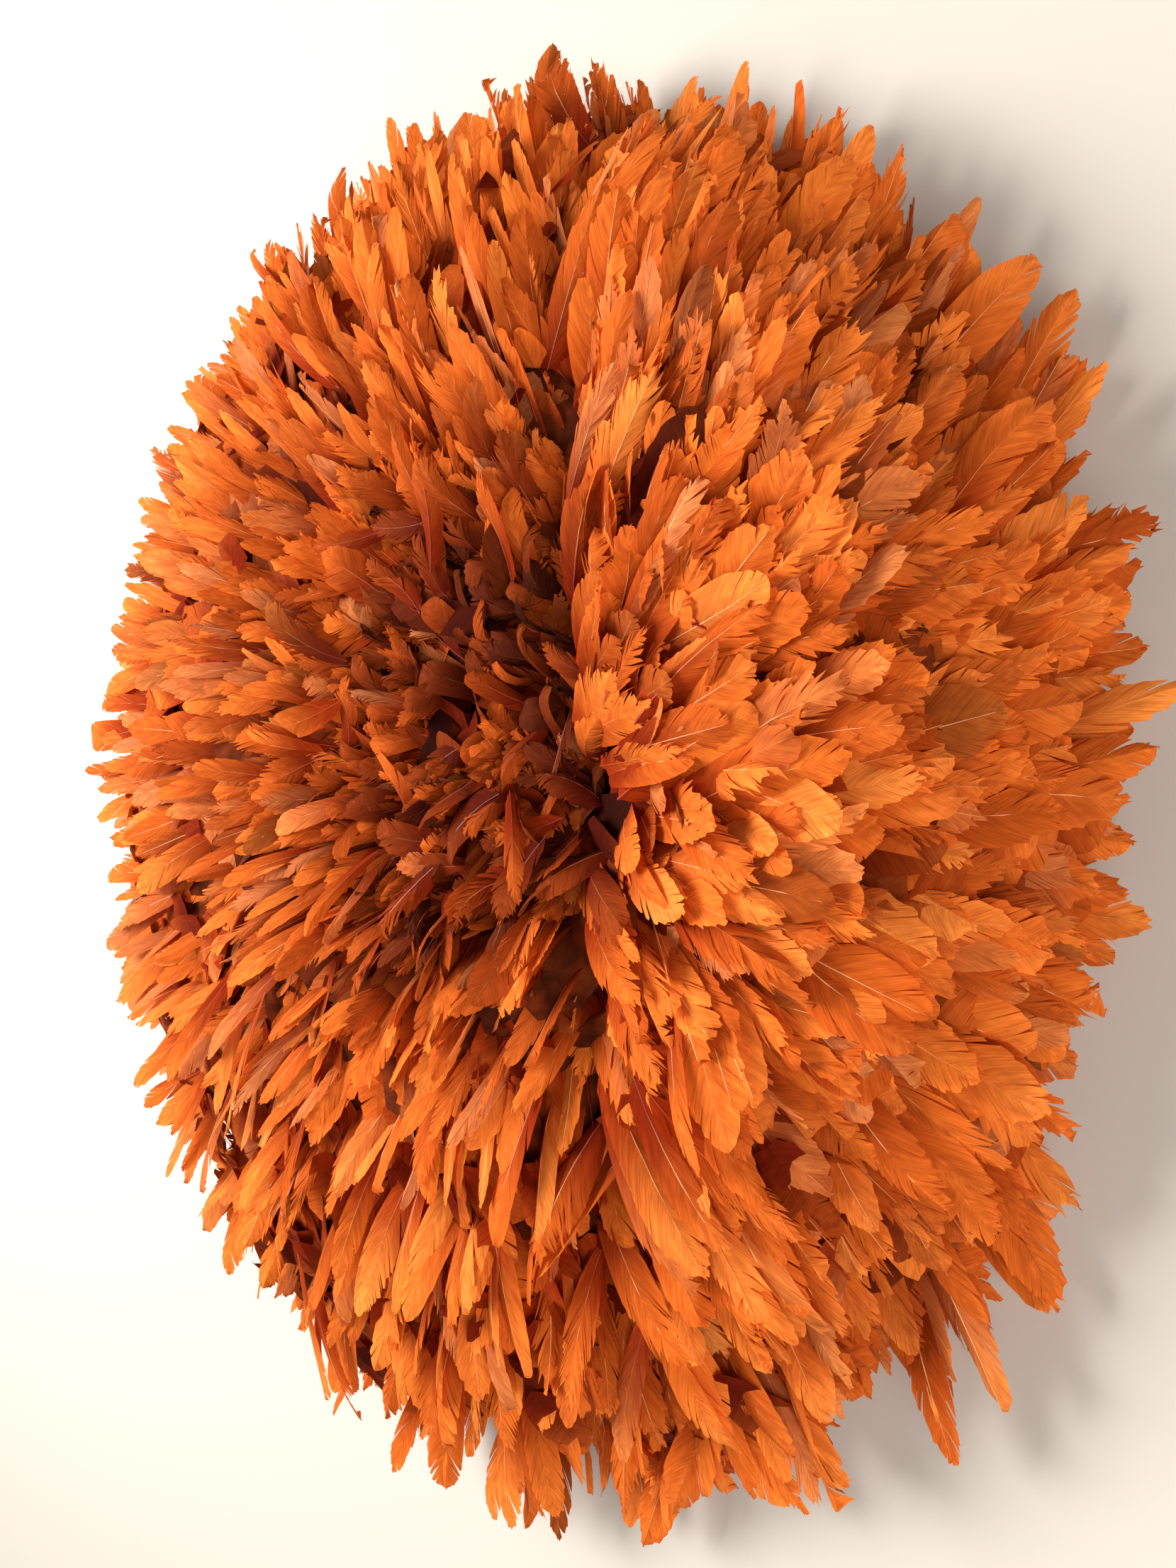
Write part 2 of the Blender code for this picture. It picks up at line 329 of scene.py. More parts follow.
# stations are barbs on a side and columns the quads along each barb. widest, foot and blunt give the
# outline, lead how far a barb's end leads its root, tooth and ragged how the edge and the tip are frayed.
# slits sets how many gaps a side has, opened how wide they are, parted how far barbs beside one lift, and
# narrow is a share of the row's width.
Kind = namedtuple(
    "Kind", "name stations columns widest foot blunt lead tooth ragged slits opened parted narrow"
)
KINDS = (
    Kind("broad", 28, 3, 0.74, 0.44, 2.1, 0.21, 0.016, 0.16, 4, 0.012, 0.12, 1.0),
    Kind("round", 22, 2, 0.70, 0.48, 2.0, 0.20, 0.010, 0.05, 2, 0.008, 0.06, 1.0),
    Kind("ragged", 30, 3, 0.78, 0.42, 2.4, 0.25, 0.040, 0.42, 7, 0.014, 0.18, 1.0),
    Kind("slim", 22, 2, 0.72, 0.46, 2.1, 0.22, 0.020, 0.10, 3, 0.010, 0.09, 0.74),
    Kind("frayed", 28, 2, 0.74, 0.40, 2.1, 0.28, 0.080, 0.40, 14, 0.016, 0.24, 0.84),
    Kind("curly", 22, 2, 0.72, 0.42, 2.0, 0.30, 0.060, 0.28, 12, 0.020, 0.30, 0.92),
    Kind("under", 12, 1, 0.74, 0.50, 2.3, 0.18, 0.060, 0.24, 1, 0.010, 0.08, 1.0),
)
VARIANTS = 10

# Length by half-width that the spacing of the barbs reckons with, and how much closer they are at the tip
SLENDER = 6.5
TIP_CLOSER = 0.4
OUTLINE_POINTS = 500
# Points along a barb lie closer at its end, and it curves towards the tip and down at the edge
BARB_STEPS = 0.8
BARB_CURVE = 1.25
BARB_ROOT = 0.975
CAMBER = 0.20
# Ranges that each half draws from: its width, its teeth, and how slits open and where they begin
HALF_SPREAD = (0.78, 1.05)
TOOTH_SPREAD = 1.2
TEETH_SPREAD = 1.6
SLIT_OPENING = (0.3, 1.3)
SLIT_START = (0.15, 0.6)
SLIT_SHORTER = 0.06
# Fraying grows over the last part of the length, and slits may lie anywhere
TIP_FROM = 0.55
TIP_FADE = 0.42
TIP_BACK = 0.22
SLIT_ANYWHERE = 0.15
SHAFT_STATIONS = 5
SHAFT_WIDTH = 0.050
SHAFT_END = 0.95
SHAFT_TAPER = 0.80
SHAFT_TAPER_POWER = 1.3
# The shaft's section, in half-widths across and up
SHAFT_SECTION = ((-1.0, -0.4), (0.0, 1.1), (1.0, -0.4))

Parts = namedtuple("Parts", "points barbs along edge quads")
Template = namedtuple("Template", Parts._fields + ("vane_points", "vane_quads"))


def outline(kind):
    """Edge points of one half, in half-widths and lengths, closer together towards the tip."""
    y = np.linspace(kind.lead * kind.foot + 0.01, 1.0, OUTLINE_POINTS)
    tip = np.clip((y - kind.widest) / (1 - kind.widest), 0, 1)
    upper = (1 - tip ** kind.blunt) ** (1 / kind.blunt)
    lower = kind.foot + (1 - kind.foot) * np.sin(np.pi / 2 * np.clip(y / kind.widest, 0, 1))
    x = np.where(y > kind.widest, upper, lower)
    arc = np.concatenate([[0], np.cumsum(np.hypot(np.diff(x), SLENDER * np.diff(y)))])
    u = np.linspace(0, 1, kind.stations + 1)
    share = ((1 - TIP_CLOSER) * u + TIP_CLOSER * (1 - (1 - u) ** 2)) * arc[-1]
    return np.interp(share, arc, x), np.interp(share, arc, y)


def add_points(parts, *columns):
    """Adds points with their barb, place along and place out to the edge, and gives the first's number."""
    start = len(parts.points)
    for values, more in zip(parts, columns):
        values.extend(more)
    return start


def add_half_vane(parts, kind, side, draw):
    """The barbs of one side, each a row of points, with two rows where the vane is slit."""
    steps = np.linspace(0, 1, kind.columns + 1) ** BARB_STEPS
    wide = draw.uniform(*HALF_SPREAD)
    ends_x, ends_y = outline(kind)
    count = len(ends_x)
    near_tip = smooth_step((ends_y - TIP_FROM) / TIP_FADE)
    teeth = kind.tooth * (np.arange(count) % 2) * draw.uniform(0, TOOTH_SPREAD, count)
    trim = teeth * draw.uniform(0, TEETH_SPREAD) + kind.ragged * near_tip * draw.random(count)
    back = TIP_BACK * kind.ragged * near_tip ** 2 * draw.random(count)
    likely = SLIT_ANYWHERE + near_tip[2:-2]
    slits = min(draw.integers(0, kind.slits + 1) + kind.slits // 3, len(likely) - 2)
    slit_at = draw.choice(np.arange(2, count - 2), slits, replace=False, p=likely / likely.sum())
    lifted = draw.uniform(-1, 1) * kind.parted
    before = None
    for i in range(count):
        slit = i in slit_at
        opened = draw.uniform(*SLIT_OPENING) * kind.opened if slit else 0.0
        begins = draw.uniform(*SLIT_START) if slit else 0.0
        root = max(ends_y[i] - kind.lead * ends_x[i], 0.0) * BARB_ROOT
        reach = steps * (1 - trim[i])
        for part in ((-1, 1) if slit else (0,)):
            if part == 1:
                lifted = draw.uniform(-1, 1) * kind.parted
            parting = part * opened * smooth_step((steps - begins) / (1 - begins))
            x = side * wide * ends_x[i] * reach * (1 - SLIT_SHORTER * abs(part) * steps ** 3)
            y = root + (ends_y[i] - back[i] - root) * reach ** BARB_CURVE + parting
            z = (lifted - CAMBER) * reach ** 2
            start = add_points(parts, np.stack([x, y, z], -1), [(side * s, root) for s in steps], y, steps)
            if before is not None and part != 1:
                for j in range(kind.columns):
                    quad = (before + j, before + j + 1, start + j + 1, start + j)
                    parts.quads.append(quad if side > 0 else quad[::-1])
            before = start


def add_shaft(parts):
    """A three-sided shaft that thins towards the tip."""
    for i in range(SHAFT_STATIONS + 1):
        y = SHAFT_END * i / SHAFT_STATIONS
        half = SHAFT_WIDTH * (1 - SHAFT_TAPER * (i / SHAFT_STATIONS) ** SHAFT_TAPER_POWER)
        section = [(across * half, y, up * half) for across, up in SHAFT_SECTION]
        start = add_points(parts, section, [(0.0, y)] * 3, [y] * 3, [0.0] * 3)
        if i:
            for j in range(3):
                k = (j + 1) % 3
                parts.quads.append((start - 3 + j, start - 3 + k, start + k, start + j))


def feather_template(kind, draw):
    """Points of one feather: x a share of its half-width, y of its length, z of its half-width."""
    parts = Parts([], [], [], [], [])
    for side in (-1, 1):
        add_half_vane(parts, kind, side, draw)
    vane_points, vane_quads = len(parts.points), len(parts.quads)
    if kind.name != "under":
        add_shaft(parts)
    return Template(*(np.array(values) for values in parts), vane_points, vane_quads)


def make_templates():
    draw = np.random.default_rng(SEED)
    return {kind.name: [feather_template(kind, draw) for _ in range(VARIANTS)] for kind in KINDS}


# Feathers bend in steps: the droop is at the root and the curl near the tip
BEND_STATIONS = 10
DROOP_POWER = 1.2
CURL_FROM = 0.6
CURL_FADE = 0.4
# Vanes that would pass through the floor are bent to lie just above it
FLOOR_GAP = 0.0008
FLOOR_BEND = 0.006


def shaped(template, f):
    """The template's points for every feather of f: bent along its length and set with its tip in place."""
    s = np.linspace(0, 1, BEND_STATIONS + 1)
    curl = f["curl"][:, None] * smooth_step((s - CURL_FROM) / CURL_FADE)
    lift = f["droop"][:, None] * (1 - s) ** DROOP_POWER - curl
    turn = f["swing"][:, None] * (1 - s)
    d, n, x = f["way"][:, None], f["face"][:, None], np.cross(f["way"], f["face"])[:, None]
    cl, sl, ct, st = (w[..., None] for w in (np.cos(lift), np.sin(lift), np.cos(turn), np.sin(turn)))
    heading = unit(d * cl * ct + n * sl + x * cl * st)
    step = f["length"][:, None, None] / BEND_STATIONS
    mid = (heading[:, 1:] + heading[:, :-1]) / 2 * step
    line = np.concatenate([np.zeros_like(mid[:, :1]), np.cumsum(mid, axis=1)], axis=1)
    line = line - line[:, -1:] + f["tip"][:, None]
    side = unit(np.cross(heading, n))
    up = np.cross(side, heading)
    roll = (f["roll"][:, None] + f["twist"][:, None] * (s - 0.5))[..., None]
    side, up = side * np.cos(roll) + up * np.sin(roll), up * np.cos(roll) - side * np.sin(roll)
    y = np.clip(template.points[:, 1], 0, 1) * BEND_STATIONS
    low = np.minimum(y.astype(int), BEND_STATIONS - 1)
    part = (y - low)[None, :, None]

    def at(values):
        return values[:, low] * (1 - part) + values[:, low + 1] * part

    half = f["width"][:, None, None] / 2
    is_vane = np.where(np.arange(len(y)) < template.vane_points, 1.0, 0.0)
    z = template.points[None, :, 2:] * (1 + (f["cup"][:, None, None] - 1) * is_vane[None, :, None])
    points = at(line) + at(side) * template.points[None, :, :1] * half + at(up) * z * half
    height = points[..., 2]
    points[..., 2] = FLOOR_GAP + 0.5 * (height + np.sqrt(height ** 2 + FLOOR_BEND ** 2))
    return points


# Where along a feather the painted shade at its root ends and its golden tip and pale shaft begin, with their
# fades
ROOT_FROM = 0.21
ROOT_FADE = 0.66
GOLD_FROM = 0.66
GOLD_FADE = 0.34
PALE_FROM = 0.25
PALE_FADE = 0.35
PALE_FALL = 0.35
# Painted light towards the vane's edge, where light comes through it
EDGE_PAINTED_LIGHT = 0.10


def point_colours(template, group):
    """Each point's colour: painted shade at the root, painted light towards the vane's edge, golden at the
    tip and pale along the shaft.
    """
    along = template.along[:, None]
    out = smooth_step((along - ROOT_FROM) / ROOT_FADE)
    shade = (np.array(ROOT_PAINTED_SHADE) * (1 - out) + out) * (1 + EDGE_PAINTED_LIGHT * template.edge[:, None] ** 3)
    gilt = group["gold"][:, None, None] * smooth_step((along - GOLD_FROM) / GOLD_FADE)
    tint = group["tint"][:, None] * shade * (1 - gilt) + np.array(GOLD) * gilt
    pale = np.clip(group["pale"][:, None, None] - PALE_FALL * along ** 3, 0, 1)
    pale = pale * smooth_step((along - PALE_FROM) / PALE_FADE)
    shaft = tint * (1 - pale) + np.array(SHAFT_PALE) * pale
    is_shaft = np.arange(len(along)) >= template.vane_points
    return np.where(is_shaft[None, :, None], shaft, tint)


def quad_mesh(name, points, quads):
    mesh = bpy.data.meshes.new(name)
    mesh.vertices.add(len(points))
    mesh.vertices.foreach_set("co", points.astype(np.float32).ravel())
    mesh.loops.add(quads.size)
    mesh.loops.foreach_set("vertex_index", quads.astype(np.int32).ravel())
    mesh.polygons.add(len(quads))
    mesh.polygons.foreach_set("loop_start", np.arange(0, quads.size, 4, dtype=np.int32))
    mesh.update(calc_edges=True)
    mesh.validate()
    mesh.shade_smooth()
    return mesh


def feather_mesh(name, templates, f, core):
    """One joined mesh of the feathers of f and their core, whose quads take the last material."""
    points, quads, materials, tints, shifts, barbs = [], [], [], [], [], []
    offset = 0
    for kind, number in sorted(set(zip(f["kind"], f["variant"]))):
        template = templates[kind][number]
        mine = np.flatnonzero((f["kind"] == kind) & (f["variant"] == number))
        group = {key: value[mine] for key, value in f.items()}
        count, size = len(mine), len(template.points)
        starts = offset + size * np.arange(count)[:, None, None]
        points.append(shaped(template, group).reshape(-1, 3))
        quads.append((template.quads[None] + starts).reshape(-1, 4))
        materials.append(np.tile(np.arange(len(template.quads)) >= template.vane_quads, count))
        tints.append(point_colours(template, group).reshape(-1, 3))
        shifts.append(np.repeat(group["shift"], size, axis=0))
        barbs.append(np.tile(template.barbs, (count, 1)))
        offset += size * count
    core_points, core_quads = core
    points.append(core_points)
    quads.append(core_quads + offset)
    materials.append(np.full(len(core_quads), 2))
    tints.append(np.zeros((len(core_points), 3)))
    shifts.append(np.zeros((len(core_points), 3)))
    barbs.append(np.zeros((len(core_points), 2)))

    mesh = quad_mesh(name, np.concatenate(points), np.concatenate(quads))
    mesh.polygons.foreach_set("material_index", np.concatenate(materials).astype(np.int32))
    colours = np.concatenate(tints)
    colours = np.concatenate([colours, np.ones((len(colours), 1))], axis=1).astype(np.float32)
    mesh.attributes.new("tint", "FLOAT_COLOR", "POINT").data.foreach_set("color", colours.ravel())
    moved = np.concatenate(shifts).astype(np.float32)
    mesh.attributes.new("shift", "FLOAT_VECTOR", "POINT").data.foreach_set("vector", moved.ravel())
    corner = np.empty(len(mesh.loops), np.int32)
    mesh.loops.foreach_get("vertex_index", corner)
    uv = np.concatenate(barbs)[corner].astype(np.float32)
    mesh.uv_layers.new(name="barbs").data.foreach_set("uv", uv.ravel())
    return mesh


# Rows of feathers over the dome

# From under the rim, over the crest and down into the middle. reach is a share of MEAN_R and rise of
# DEPTH, where tips lie. aim is the tips' angle above level, in degrees outwards, and droop how much more
# steeply the feather starts. length, width and spacing along the row are in metres, and tone is the
# colour's place in TONES.
Row = namedtuple("Row", "reach rise aim droop length width spacing tone")
# The lower tones of the middle rows, from reach 0.41 inwards, are painted shade of the sunk middle
ROWS = (
    Row(0.900, 0.095, 2, 6, 0.112, 0.024, 0.0170, 0.52),
    Row(0.975, 0.135, 0, 10, 0.112, 0.026, 0.0155, 0.62),
    Row(1.000, 0.210, -7, 16, 0.108, 0.027, 0.0150, 0.63),
    Row(0.980, 0.330, -17, 22, 0.105, 0.027, 0.0145, 0.63),
    Row(0.930, 0.470, -23, 24, 0.102, 0.027, 0.0145, 0.64),
    Row(0.830, 0.720, -16, 26, 0.098, 0.027, 0.0140, 0.66),
    Row(0.680, 0.910, 0, 28, 0.094, 0.026, 0.0135, 0.66),
    Row(0.520, 1.000, 17, 26, 0.086, 0.025, 0.0125, 0.63),
    Row(0.410, 0.990, 30, 24, 0.070, 0.024, 0.0110, 0.50),
    Row(0.330, 0.930, 35, 22, 0.062, 0.023, 0.0098, 0.40),
    Row(0.250, 0.850, 38, 22, 0.058, 0.022, 0.0088, 0.38),
    Row(0.160, 0.800, 43, 20, 0.055, 0.022, 0.0078, 0.37),
    Row(0.060, 0.780, 50, 16, 0.052, 0.021, 0.0070, 0.36),
)
# Distance between the rows that are planted, for feathers of STEP_LENGTH
ROW_STEP = 0.0235
STEP_LENGTH = 0.100
# The rows of the rim are closer together, by this share up to a row number, and then less
RIM_CLOSE = 0.66
RIM_ROWS = 2.6
RIM_ROWS_FADE = 1.4
# The section between the rows of the table is smoothed over this many of its points
SECTION_POINTS = 400
SMOOTHED = 41
LEAST_RADIUS = 0.006

# An under-layer lies flat along the dome, UNDER_DEPTH inside the tips, where the slope is between these
# degrees
UNDER_SLOPES = (-110, 60)
UNDER_SPACING = 0.019
UNDER_STRAY = 0.3
UNDER_DEPTH = 0.022
UNDER_LIFT = 10.0
UNDER_LENGTH = 0.056
UNDER_WIDTH = 0.038
# Its tone is lowered as painted shade under the bundles
UNDER_PAINTED_SHADE = 0.25
# Where the slope is below STEEP it is smaller and has less painted shade, and nowhere does it aim below
# UNDER_STEEPEST
STEEP = -60
STEEP_LENGTH = 0.050
STEEP_WIDTH = 0.030
STEEP_PAINTED_SHADE_SHARE = 0.45
UNDER_STEEPEST = -44.0

# Feathers of a bundle, the share of its room that they fill, and how they and the bundles stray in it
BUNDLE_SIZE = 5
BUNDLE_FILL = 0.78
FEATHER_STRAY = 0.12
BUNDLE_STRAY = 0.17
# Share of the bundles left out of every second row, but not on the right, at the rim or in the middle,
# so that long streaks show
THINNED = 0.85
THINNED_OUTSIDE = 0.42
THINNED_ABOVE = 3.4

# How far the tips reach in plan beside the oval, by degrees from +X anticlockwise, and from which reach
PlanPoint = namedtuple("PlanPoint", "degrees share")
PLAN = (
    PlanPoint(-180, 0.98),
    PlanPoint(-165, 0.965),
    PlanPoint(-150, 1.01),
    PlanPoint(-120, 0.99),
    PlanPoint(-105, 0.99),
    PlanPoint(-90, 0.97),
    PlanPoint(-75, 0.97),
    PlanPoint(-60, 0.98),
    PlanPoint(-45, 0.985),
    PlanPoint(-30, 0.97),
    PlanPoint(-15, 0.965),
    PlanPoint(0, 0.94),
    PlanPoint(15, 0.97),
    PlanPoint(30, 0.965),
    PlanPoint(45, 0.97),
    PlanPoint(60, 0.96),
    PlanPoint(75, 0.96),
    PlanPoint(105, 0.965),
    PlanPoint(120, 0.965),
    PlanPoint(135, 0.965),
    PlanPoint(150, 0.935),
    PlanPoint(165, 0.95),
    PlanPoint(180, 0.98),
)
PLAN_FROM = 0.5
PLAN_FADE = 0.4

# Stray feathers: degrees round, row number, how far past the row's tips, and tone above the row's
Stray = namedtuple("Stray", "degrees row out tone")
STRAYS = (
    Stray(168, 4.6, 0.018, 0.10),
    Stray(150, 4.4, 0.012, 0.08),
    Stray(92, 3.0, 0.006, 0.06),
    Stray(81, 2.6, 0.000, 0.02),
    Stray(47, 2.8, 0.000, 0.04),
    Stray(58, 2.0, 0.004, 0.08),
    Stray(40, 2.6, 0.012, 0.05),
    Stray(34, 2.0, 0.016, 0.12),
    Stray(20, 2.0, 0.020, 0.06),
    Stray(9, 2.3, 0.022, -0.25),
    Stray(1, 2.0, 0.036, 0.12),
    Stray(-3, 2.6, 0.026, 0.06),
    Stray(-30, 2.0, 0.026, 0.12),
    Stray(-34, 2.2, 0.024, 0.14),
    Stray(-47, 1.8, -0.004, 0.14),
    Stray(-60, 2.2, -0.006, 0.10),
    Stray(-97, 3.0, 0.012, 0.08),
    Stray(-112, 3.4, 0.012, 0.06),
    Stray(-150, 4.4, 0.014, 0.08),
)
STRAY_LONGER = 1.10
STRAY_NARROWER = 0.75

# Each ring's solid, the row number where it ends, counted from 0, and its material slot
Ring = namedtuple("Ring", "node last_row slot")
RINGS = (
    Ring("feather_ring_1_rim", 1.7, "orange_feather"),
    Ring("feather_ring_2", 3.3, "orange_feather"),
    Ring("feather_ring_3", 5.0, "orange_feather"),
    Ring("feather_ring_4", 6.3, "orange_feather"),
    Ring("feather_ring_5", 8.2, "orange_feather"),
    Ring("feather_ring_6_inner", 10.4, "rust_feather"),
    Ring("crown_tuft", 12.01, "rust_feather"),
)

Plant = namedtuple("Plant", "row radius angle tilt sway push colour share under")


def plan_share(angle, reach):
    turn = (np.degrees(angle) + 180) % 360 - 180
    return 1 + (np.interp(turn, *np.array(PLAN).T) - 1) * smooth_step((reach - PLAN_FROM) / PLAN_FADE)


def wobble(draw, spread, count):
    """Normal draws with no far ones, so that no feather lies bare on the others."""
    return spread * np.clip(draw.normal(0, 1, count), -1.7, 1.7)


def rows_along():
    """Rows evenly spaced along the dome's section, each with every column of ROWS and its place there."""
    table = np.array(ROWS)
    numbers = np.arange(len(ROWS))
    r, z = table[:, 0] * MEAN_R, table[:, 1] * DEPTH
    length = np.concatenate([[0], np.cumsum(np.hypot(np.diff(r), np.diff(z)))])
    fine = np.linspace(0, length[-1], SECTION_POINTS)
    kernel = np.hanning(SMOOTHED)
    kernel /= kernel.sum()
    smooth = []
    for column in table.T:
        padded = np.pad(np.interp(fine, length, column), SMOOTHED // 2, mode="reflect", reflect_type="odd")
        smooth.append(np.convolve(padded, kernel, "valid"))
    past_rim = smooth_step((np.interp(fine, length, numbers) - RIM_ROWS) / RIM_ROWS_FADE)
    steps = ROW_STEP * (RIM_CLOSE + (1 - RIM_CLOSE) * past_rim)
    steps = steps * np.interp(fine, length, table[:, 4]) / STEP_LENGTH
    number = np.concatenate([[0], np.cumsum(np.diff(fine) / steps[1:])])
    at = np.interp(np.arange(int(number[-1]) + 1), number, fine)
    place = np.interp(at, length, numbers)
    columns = [np.interp(at, fine, values) for values in smooth]
    fall = np.arctan2(-np.gradient(smooth[1]) * DEPTH, -np.gradient(smooth[0]) * MEAN_R)
    slopes = np.interp(at, fine, np.degrees(np.unwrap(fall)))
    return [(n, Row(*values), slope) for n, values, slope in zip(place, zip(*columns), slopes)]


def under_layer(draw, row, slope):
    """Short flat feathers all round one row, under its bundles, darkened with painted shade."""
    steep = slope < STEEP
    under = row._replace(
        aim=max(slope + UNDER_LIFT, UNDER_STEEPEST),
        droop=0,
        length=STEEP_LENGTH if steep else UNDER_LENGTH,
        width=STEEP_WIDTH if steep else UNDER_WIDTH,
        tone=row.tone - UNDER_PAINTED_SHADE * (STEEP_PAINTED_SHADE_SHARE if steep else 1.0),
    )
    around = int(2 * math.pi * row.reach * MEAN_R / UNDER_SPACING)
    start = draw.uniform(0, 2 * math.pi)
    planted = []
    for i in range(around):
        angle = start + 2 * math.pi * (i + draw.uniform(-UNDER_STRAY, UNDER_STRAY)) / around
        planted.append(Plant(under, row.reach * MEAN_R, angle, *draw.normal(0, 1, 4), 0.0, True))
    return planted


def bundles_of(draw, row, thinned):
    """The bundles of one row, each with a lean and a colour of its own."""
    radius = max(row.reach * MEAN_R, LEAST_RADIUS)
    count = max(int(2 * math.pi * radius / row.spacing), 3)
    bundles = max(count // BUNDLE_SIZE, 1)
    size = round(count / bundles)
    start = draw.uniform(0, 2 * math.pi)
    planted = []
    for bundle in range(bundles):
        middle = start + 2 * math.pi * (bundle + draw.uniform(-BUNDLE_STRAY, BUNDLE_STRAY)) / bundles
        lean = wobble(draw, 1.0, 4)
        beside = 1 - smooth_step((math.cos(middle) + 0.15) / 0.9)
        if thinned and draw.random() < THINNED * beside:
            continue
        for k in range(size):
            share = (k + 0.5) / size - 0.5
            room = share * BUNDLE_FILL + draw.uniform(-FEATHER_STRAY, FEATHER_STRAY)
            planted.append(Plant(row, radius, middle + 2 * math.pi / bundles * room, *lean, share, False))
    return planted


def plant(draw):
    """Every feather of the headdress, ring by ring: its row, place round it and its bundle's lean."""
    rings = [[] for _ in RINGS]

    def ring_at(number):
        return next(planted for planted, ring in zip(rings, RINGS) if number <= ring.last_row)

    for index, (number, row, slope) in enumerate(rows_along()):
        if UNDER_SLOPES[0] < slope < UNDER_SLOPES[1]:
            ring_at(number).extend(under_layer(draw, row, slope))
        thinned = index % 2 and row.reach > THINNED_OUTSIDE and number > THINNED_ABOVE
        ring_at(number).extend(bundles_of(draw, row, thinned))
    columns = np.array(ROWS).T
    for stray in STRAYS:
        row = Row(*(np.interp(stray.row, range(len(ROWS)), column) for column in columns))
        row = row._replace(
            length=STRAY_LONGER * row.length,
            width=STRAY_NARROWER * row.width,
            tone=row.tone + stray.tone,
        )
        place = (row.reach * MEAN_R + stray.out, math.radians(stray.degrees))
        ring_at(stray.row).append(Plant(row, *place, *draw.normal(0, 1, 4), 0.0, False))
    return rings


# How each feather of a row turns, strays and is coloured

# Points in plan that the left half's, the sunk middle's and the right half's feathers point away from
LEFT_MIDDLE = np.array([0.070, 0.036])
SUNK_MIDDLE = np.array([0.126, -0.004])
RIGHT_MIDDLE = np.array([0.125, -0.020])
MIDDLES_FADE = 0.030

# The sunk middle lies inside this reach, and the mound of painted shade in it has a place and half-sizes in
# plan
INNER_REACH = 0.42
INNER_FADE = 0.16
MOUND_PLACE = np.array([0.056, 0.012])
MOUND_SIZE = np.array([0.112, 0.150])
MOUND_EDGE = 0.72
MOUND_FADE = 0.34
# Tone of the painted shade on the mound, and how much darker its under-layer is painted
MOUND_PAINTED_SHADE_TONE = 0.235
# It ends this far before the parting
MOUND_GAP = 0.012
MOUND_GAP_FADE = 0.020

# The large feathers of the lower right rim: degrees round, and the spread and reach of them
LOW_RIGHT = -45
LOW_RIGHT_SPREAD = 30.0
LOW_RIGHT_REACH = 0.80
LOW_RIGHT_FADE = 0.15

# How far tips stray in and out and up, in metres, and how much farther those of the rim do
PUSH = 0.006
RISE_STRAY = 0.003
RIM_STRAY = 1.1
RIM_REACH = 0.90
RIM_FADE = 0.08

# How feathers part: the lean away from the line, and how far tips on it move aside and sink. The crease is
# deeper across the middle.
PARTING_LEAN = 0.55
PARTING_SHIFT = 0.006
PARTING_DROP = 0.012
PARTING_SHARP = 2.0
CREASE_DROP = 0.020
CREASE_Y = 0.000
CREASE_LENGTH = 0.110

# Deep gaps beside the crease and on the right, in metres. Feathers in the deepest gaps, as in the crease, get
# painted shade in the inky colour.
Hole = namedtuple("Hole", "x y radius depth")
HOLES = (
    Hole(0.178, -0.018, 0.020, 0.038),
    Hole(0.158, -0.052, 0.020, 0.038),
    Hole(0.166, 0.062, 0.012, 0.034),
    Hole(0.282, 0.142, 0.013, 0.020),
    Hole(0.315, 0.104, 0.013, 0.018),
    Hole(0.316, 0.040, 0.013, 0.018),
)
SHADED_HOLE_DEPTH = 0.03

# How much a feather's turns stray, in degrees: on the dome, and what the sunk middle adds
Spread = namedtuple("Spread", "dome inner")
PITCH = Spread(5, 13)
YAW = Spread(5, 24)
DROOP = Spread(8, 14)
CURL = Spread(12, 34)
SWING = Spread(12, 22)
ROLL = Spread(16, 14)
TWIST = Spread(22, 22)
INNER_CURL = 18
ENDS_ROLL = 12
# Turns that a whole bundle shares, in degrees, and how its feathers fan out
BUNDLE_TILT = 5
BUNDLE_SWAY = 6
BUNDLE_FAN = 9
# Degrees by which feathers stand up more at the left and at the top and bottom, and the share by which
# their turns stray less at the left
LEFT_UPRIGHT = 8
ENDS_UPRIGHT = 6
LEFT_CALM = 0.35

# Sizes beside the row's: ranges that each feather draws from, and changes by place
LENGTH_SPREAD = (0.85, 1.12)
WIDTH_SPREAD = (0.72, 1.20)
TOP_LONGER = 0.12
LOW_RIGHT_LONGER = 0.10
LOW_RIGHT_WIDER = 0.18
INNER_WIDER = 0.10
MOUND_SHORTER = 0.12
MOUND_NARROWER = 0.24
ENDS_SLIMMER = 0.26
LEFT_SLIMMER = 0.24
RIGHT_BROADER = 0.12
# How deeply vanes are cupped beside their template, and how much deeper in the middle
CUP_SPREAD = (-0.5, 2.4)
INNER_CUP = 0.8

# Tones beside the row's: painted shade at the top and on the mound's under-layer, painted light at the left,
# at the bottom and in the middle, and tones by bundle and by feather
TOP_PAINTED_SHADE = 0.02
LEFT_PAINTED_LIGHT = 0.05
BOTTOM_PAINTED_LIGHT = 0.05
INNER_PAINTED_LIGHT = 0.14
MOUND_UNDER_PAINTED_SHADE = 0.08
BUNDLE_TONE = 0.06
FEATHER_TONE = 0.14
# Share of the feathers that are dusty or inky, and how many more at the left and in the middle
DUSTY_SHARE = 0.12
LEFT_DUSTY = 0.20
INKY_SHARE = 0.01
LEFT_INKY = 0.03
INNER_INKY = 0.06
